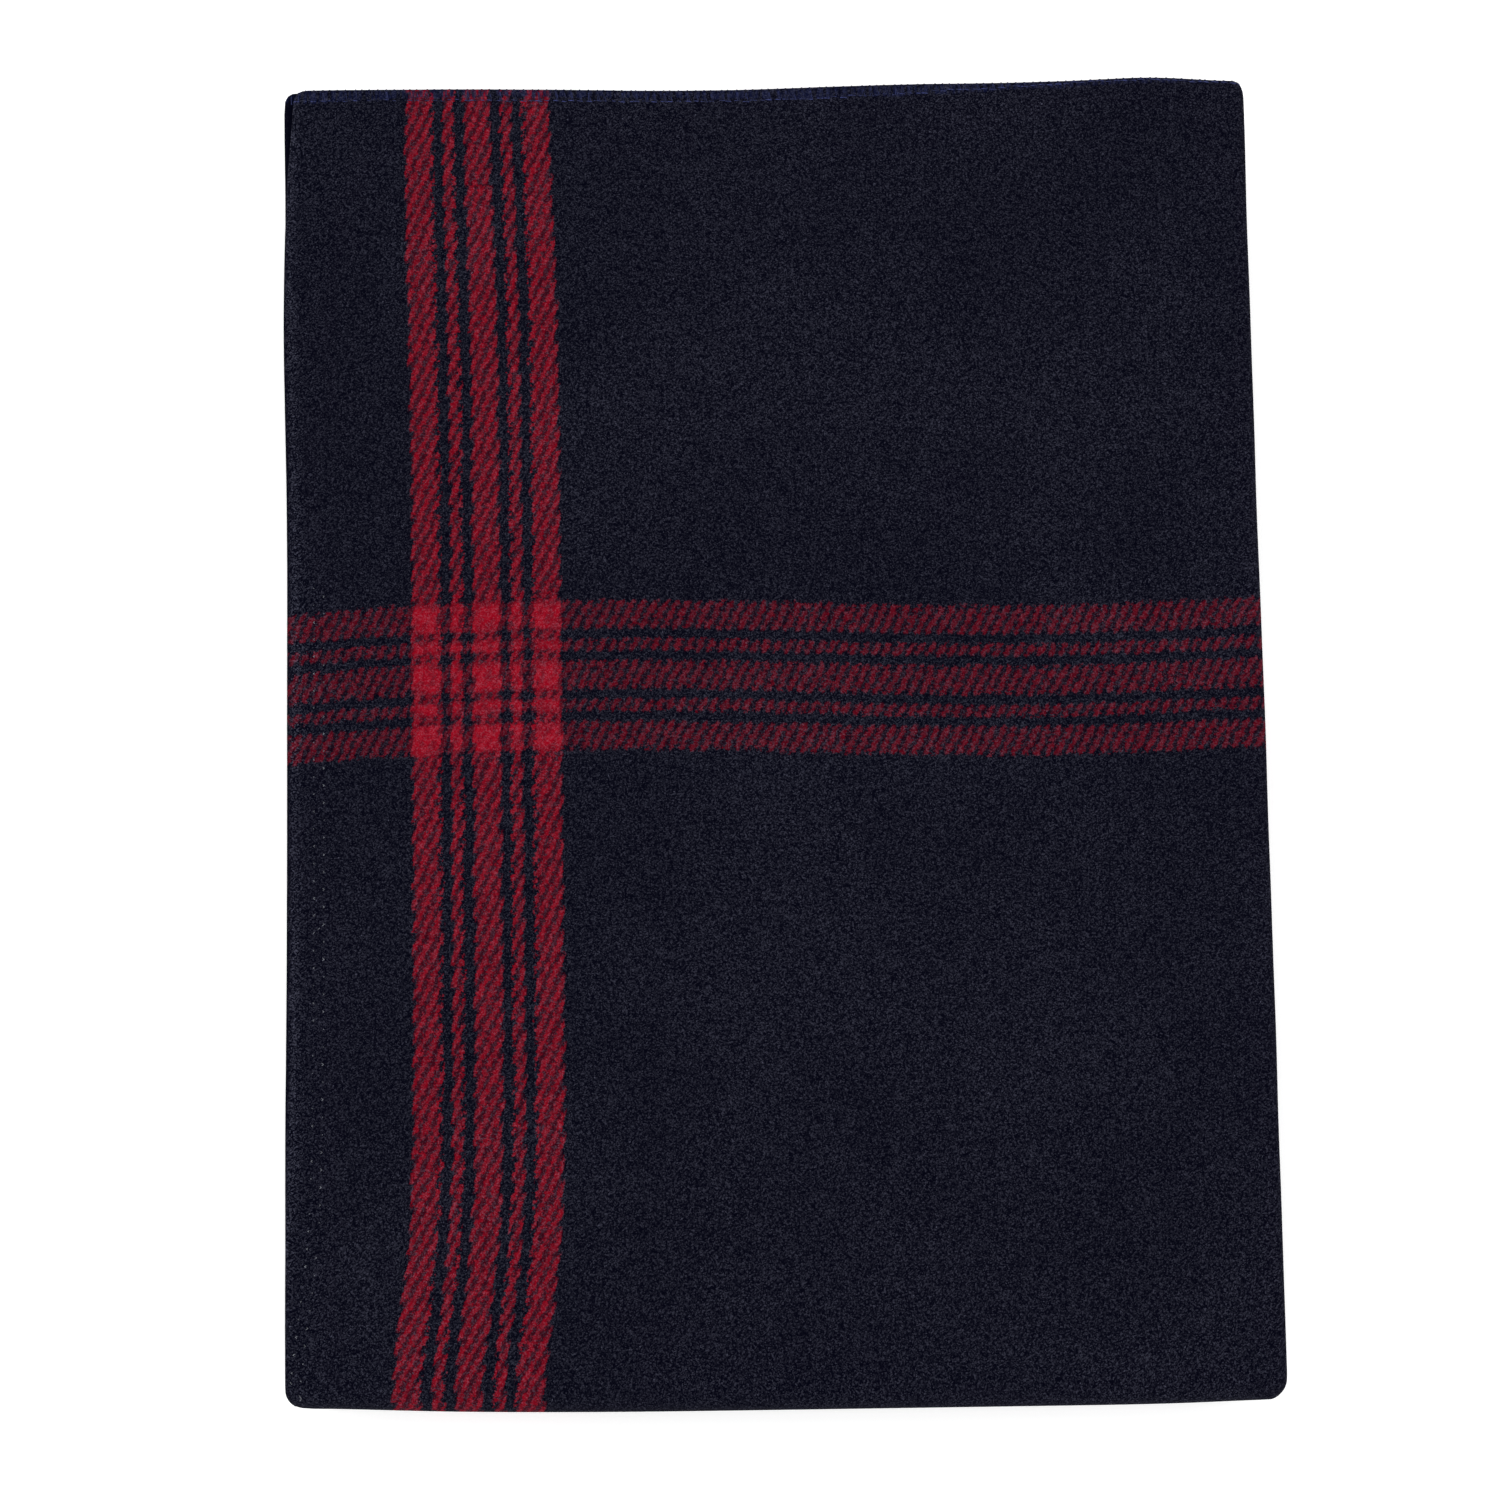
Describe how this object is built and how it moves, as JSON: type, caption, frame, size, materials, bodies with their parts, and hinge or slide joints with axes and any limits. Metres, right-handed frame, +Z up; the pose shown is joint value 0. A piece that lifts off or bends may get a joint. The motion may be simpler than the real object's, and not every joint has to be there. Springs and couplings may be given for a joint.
{
  "type": "camp blanket",
  "caption": "Woven wool camp blanket with an overlocked end and stitched side hems, folded flat into a rectangular stack that opens on its cross folds.",
  "frame": {"origin": "on the ground, at the middle of the folded stack's footprint", "axes": "+Z up through the stack, +Y along the blanket's length towards its overlocked end, +X across its width, away from the side hem that lies on top"},
  "size_m": [0.3949, 0.5364, 0.0474],
  "materials": {
    "wool_cloth": "napped 2/2 twill wool, navy with red windowpane stripes, matte",
    "overlock_thread": "blue bulked overlock thread",
    "hem_thread": "grey-blue zigzag sewing thread"
  },
  "bodies": {
    "bottom_quarter": {"bottom_panel": "wool_cloth", "bottom_panel_outer_hem_stitching": "hem_thread", "bottom_panel_inner_hem_stitching": "hem_thread", "bottom_end_serging": "overlock_thread", "lower_fold": "wool_cloth", "lower_fold_outer_hem_stitching": "hem_thread", "lower_fold_inner_hem_stitching": "hem_thread"},
    "lower_middle_quarter": {"lower_middle_panel": "wool_cloth", "lower_middle_panel_outer_hem_stitching": "hem_thread", "lower_middle_panel_inner_hem_stitching": "hem_thread", "middle_fold": "wool_cloth", "middle_fold_outer_hem_stitching": "hem_thread", "middle_fold_inner_hem_stitching": "hem_thread"},
    "upper_middle_quarter": {"upper_middle_panel": "wool_cloth", "upper_middle_panel_outer_hem_stitching": "hem_thread", "upper_middle_panel_inner_hem_stitching": "hem_thread", "upper_fold": "wool_cloth", "upper_fold_outer_hem_stitching": "hem_thread", "upper_fold_inner_hem_stitching": "hem_thread"},
    "top_quarter": {"top_panel": "wool_cloth", "top_panel_outer_hem_stitching": "hem_thread", "top_panel_inner_hem_stitching": "hem_thread", "top_end_serging": "overlock_thread"}
  },
  "joints": [
    {"name": "lower_fold_opening", "type": "hinge", "parent": "bottom_quarter", "child": "lower_middle_quarter", "pos_m": [0, -0.25653, 0.0117], "axis": [1, 0, 0], "range_deg": [0, 180], "deforming": ["lower_fold", "lower_fold_outer_hem_stitching", "lower_fold_inner_hem_stitching"]},
    {"name": "middle_fold_opening", "type": "hinge", "parent": "lower_middle_quarter", "child": "upper_middle_quarter", "pos_m": [0, 0.25653, 0.0237], "axis": [-1, 0, 0], "range_deg": [0, 180], "deforming": ["middle_fold", "middle_fold_outer_hem_stitching", "middle_fold_inner_hem_stitching"]},
    {"name": "upper_fold_opening", "type": "hinge", "parent": "upper_middle_quarter", "child": "top_quarter", "pos_m": [0, -0.25653, 0.0357], "axis": [1, 0, 0], "range_deg": [0, 180], "deforming": ["upper_fold", "upper_fold_outer_hem_stitching", "upper_fold_inner_hem_stitching"]}
  ]
}
